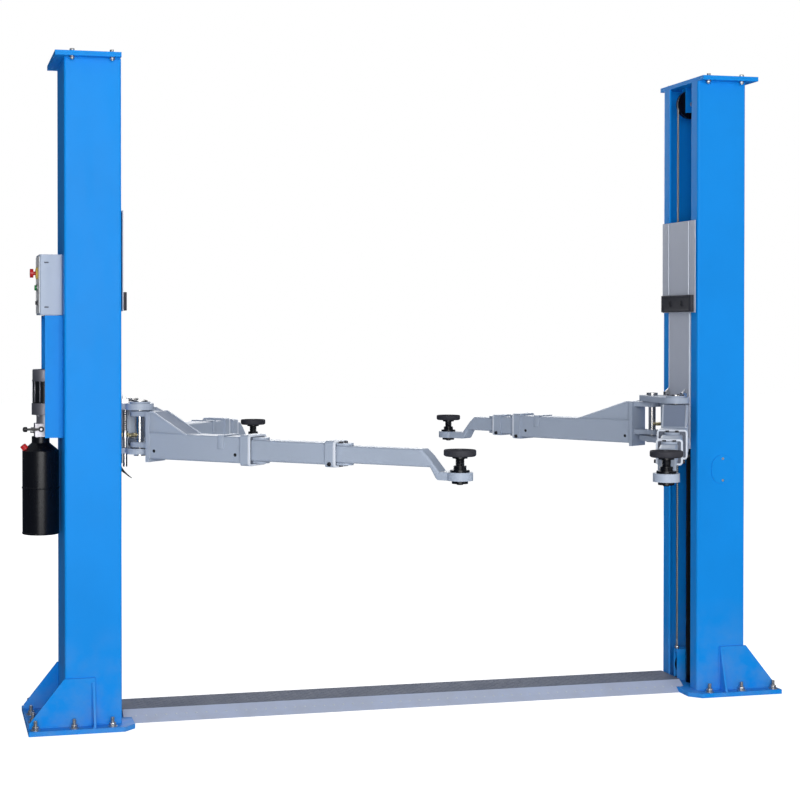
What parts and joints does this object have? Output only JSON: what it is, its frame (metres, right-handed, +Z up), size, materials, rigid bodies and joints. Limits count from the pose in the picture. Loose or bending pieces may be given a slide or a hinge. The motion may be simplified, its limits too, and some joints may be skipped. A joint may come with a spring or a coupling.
{
  "type": "two post car lift",
  "caption": "Electro-hydraulic two post car lift with a floor plate, sliding carriages, swinging telescopic arms and screw pads.",
  "frame": {"origin": "on the floor, midway between the posts", "axes": "+X to the right post, +Y away from the front, +Z up"},
  "size_m": [3.4504, 2.6923, 2.85],
  "materials": {
    "post_blue": "gloss",
    "arm_grey": "satin",
    "carriage_grey": "satin",
    "cover_grey": "satin",
    "steel": "brushed",
    "chrome": "polished",
    "rubber": "matte",
    "black_steel": "satin",
    "black_plastic": "matte",
    "box_grey": "satin",
    "cast_metal": "cast",
    "red_plastic": "gloss",
    "green_plastic": "gloss"
  },
  "bodies": {
    "frame": {"left_post": "post_blue", "right_post": "post_blue", "top_plates": "post_blue", "base_plates": "post_blue", "gussets": "post_blue", "access_cover": "post_blue", "floor_cover": "cover_grey", "sync_rope": "steel", "pulley_brackets": "post_blue", "cylinders": "black_steel", "motor_bracket": "post_blue", "motor": "black_steel", "pump_block": "cast_metal", "oil_tank": "black_plastic", "control_box": "box_grey"},
    "left_carriage": {"left_carriage": "carriage_grey", "left_door_guard": "rubber", "left_arm_yoke": "arm_grey", "left_lock_rods": "chrome"},
    "left_lift_rod": {"left_lift_rod": "chrome"},
    "left_top_pulley": {"left_top_pulley": "steel"},
    "left_low_pulley": {"left_low_pulley": "steel"},
    "right_carriage": {"right_carriage": "carriage_grey", "right_door_guard": "rubber", "right_arm_yoke": "arm_grey", "right_lock_rods": "chrome"},
    "right_lift_rod": {"right_lift_rod": "chrome"},
    "right_top_pulley": {"right_top_pulley": "steel"},
    "right_low_pulley": {"right_low_pulley": "steel"},
    "left_front_arm": {"left_front_pin": "chrome", "left_front_outer_arm": "arm_grey"},
    "left_front_middle": {"left_front_middle_arm": "arm_grey"},
    "left_front_inner": {"left_front_inner_arm": "arm_grey", "left_front_sleeve": "black_steel"},
    "left_front_pad": {"left_front_pad": "rubber"},
    "right_front_arm": {"right_front_pin": "chrome", "right_front_outer_arm": "arm_grey"},
    "right_front_middle": {"right_front_middle_arm": "arm_grey"},
    "right_front_inner": {"right_front_inner_arm": "arm_grey", "right_front_sleeve": "black_steel"},
    "right_front_pad": {"right_front_pad": "rubber"},
    "left_rear_arm": {"left_rear_pin": "chrome", "left_rear_outer_arm": "arm_grey"},
    "left_rear_middle": {"left_rear_middle_arm": "arm_grey"},
    "left_rear_inner": {"left_rear_inner_arm": "arm_grey", "left_rear_sleeve": "black_steel"},
    "left_rear_pad": {"left_rear_pad": "rubber"},
    "right_rear_arm": {"right_rear_pin": "chrome", "right_rear_outer_arm": "arm_grey"},
    "right_rear_middle": {"right_rear_middle_arm": "arm_grey"},
    "right_rear_inner": {"right_rear_inner_arm": "arm_grey", "right_rear_sleeve": "black_steel"},
    "right_rear_pad": {"right_rear_pad": "rubber"},
    "stop_button": {"stop_button": "red_plastic"},
    "raise_button": {"raise_button": "green_plastic"},
    "lowering_lever": {"lowering_lever": "black_steel"}
  },
  "joints": [
    {"name": "left_lift", "type": "slide", "parent": "frame", "child": "left_carriage", "axis": [0, 0, 1], "range_m": [-1, 0.45]},
    {"name": "right_lift", "type": "slide", "parent": "frame", "child": "right_carriage", "axis": [0, 0, 1], "range_m": [-1, 0.45]},
    {"name": "left_rod_slide", "type": "slide", "parent": "frame", "child": "left_lift_rod", "axis": [0, 0, 1], "range_m": [-0.5, 0.225]},
    {"name": "right_rod_slide", "type": "slide", "parent": "frame", "child": "right_lift_rod", "axis": [0, 0, 1], "range_m": [-0.5, 0.225]},
    {"name": "left_top_pulley_spin", "type": "hinge", "parent": "frame", "child": "left_top_pulley", "pos_m": [-1.405, 0.062, 2.753], "axis": [0, 1, 0], "continuous": true},
    {"name": "left_low_pulley_spin", "type": "hinge", "parent": "frame", "child": "left_low_pulley", "pos_m": [-1.405, 0.062, 0.093], "axis": [0, 1, 0], "continuous": true},
    {"name": "right_top_pulley_spin", "type": "hinge", "parent": "frame", "child": "right_top_pulley", "pos_m": [1.405, 0.062, 2.753], "axis": [0, 1, 0], "continuous": true},
    {"name": "right_low_pulley_spin", "type": "hinge", "parent": "frame", "child": "right_low_pulley", "pos_m": [1.405, 0.062, 0.093], "axis": [0, 1, 0], "continuous": true},
    {"name": "left_front_swing", "type": "hinge", "parent": "left_carriage", "child": "left_front_arm", "pos_m": [-1.242, -0.125, 1.265], "axis": [0, 0, -1], "range_deg": [-44.4, 43.2]},
    {"name": "left_front_middle_slide", "type": "slide", "parent": "left_front_arm", "child": "left_front_middle", "axis": [0.7145, -0.6997, 0], "range_m": [-0.285, 0.058]},
    {"name": "left_front_inner_slide", "type": "slide", "parent": "left_front_middle", "child": "left_front_inner", "axis": [0.7145, -0.6997, 0], "range_m": [-0.31, 0.045]},
    {"name": "left_front_pad_screw", "type": "slide", "parent": "left_front_inner", "child": "left_front_pad", "axis": [0, 0, 1], "range_m": [-0.016, 0.045]},
    {"name": "right_front_swing", "type": "hinge", "parent": "right_carriage", "child": "right_front_arm", "pos_m": [1.242, -0.125, 1.265], "axis": [0, 0, 1], "range_deg": [-62.9, 24.8]},
    {"name": "right_front_middle_slide", "type": "slide", "parent": "right_front_arm", "child": "right_front_middle", "axis": [-0.4555, -0.8902, 0], "range_m": [-0.335, 0.008]},
    {"name": "right_front_inner_slide", "type": "slide", "parent": "right_front_middle", "child": "right_front_inner", "axis": [-0.4555, -0.8902, 0], "range_m": [-0.194, 0.161]},
    {"name": "right_front_pad_screw", "type": "slide", "parent": "right_front_inner", "child": "right_front_pad", "axis": [0, 0, 1], "range_m": [-0.016, 0.045]},
    {"name": "left_rear_swing", "type": "hinge", "parent": "left_carriage", "child": "left_rear_arm", "pos_m": [-1.242, 0.125, 1.265], "axis": [0, 0, 1], "range_deg": [-50.5, 36.9]},
    {"name": "left_rear_middle_slide", "type": "slide", "parent": "left_rear_arm", "child": "left_rear_middle", "axis": [0.6361, 0.7716, 0], "range_m": [0, 0.32]},
    {"name": "left_rear_inner_slide", "type": "slide", "parent": "left_rear_middle", "child": "left_rear_inner", "axis": [0.6361, 0.7716, 0], "range_m": [0, 0.32]},
    {"name": "left_rear_pad_screw", "type": "slide", "parent": "left_rear_inner", "child": "left_rear_pad", "axis": [0, 0, 1], "range_m": [-0.016, 0.045]},
    {"name": "right_rear_swing", "type": "hinge", "parent": "right_carriage", "child": "right_rear_arm", "pos_m": [1.242, 0.125, 1.265], "axis": [0, 0, -1], "range_deg": [-56.3, 31.1]},
    {"name": "right_rear_middle_slide", "type": "slide", "parent": "right_rear_arm", "child": "right_rear_middle", "axis": [-0.5548, 0.832, 0], "range_m": [-0.031, 0.289]},
    {"name": "right_rear_inner_slide", "type": "slide", "parent": "right_rear_middle", "child": "right_rear_inner", "axis": [-0.5548, 0.832, 0], "range_m": [-0.079, 0.241]},
    {"name": "right_rear_pad_screw", "type": "slide", "parent": "right_rear_inner", "child": "right_rear_pad", "axis": [0, 0, 1], "range_m": [-0.016, 0.045]},
    {"name": "stop_push", "type": "slide", "parent": "frame", "child": "stop_button", "axis": [1, 0, 0], "range_m": [0, 0.005]},
    {"name": "raise_push", "type": "slide", "parent": "frame", "child": "raise_button", "axis": [1, 0, 0], "range_m": [0, 0.004], "stiffness_N_per_m": 400, "springref_m": -0.002},
    {"name": "lever_turn", "type": "hinge", "parent": "frame", "child": "lowering_lever", "pos_m": [-1.6524, -0.04, 1.262], "axis": [0, -1, 0], "range_deg": [0, 20], "stiffness_Nm_per_rad": 1.5, "springref_deg": -22.92}
  ],
  "couplings": [
    {"joint": "right_lift", "follows": "left_lift", "ratio": 1},
    {"joint": "left_rod_slide", "follows": "left_lift", "ratio": 0.5},
    {"joint": "right_rod_slide", "follows": "left_lift", "ratio": 0.5}
  ]
}
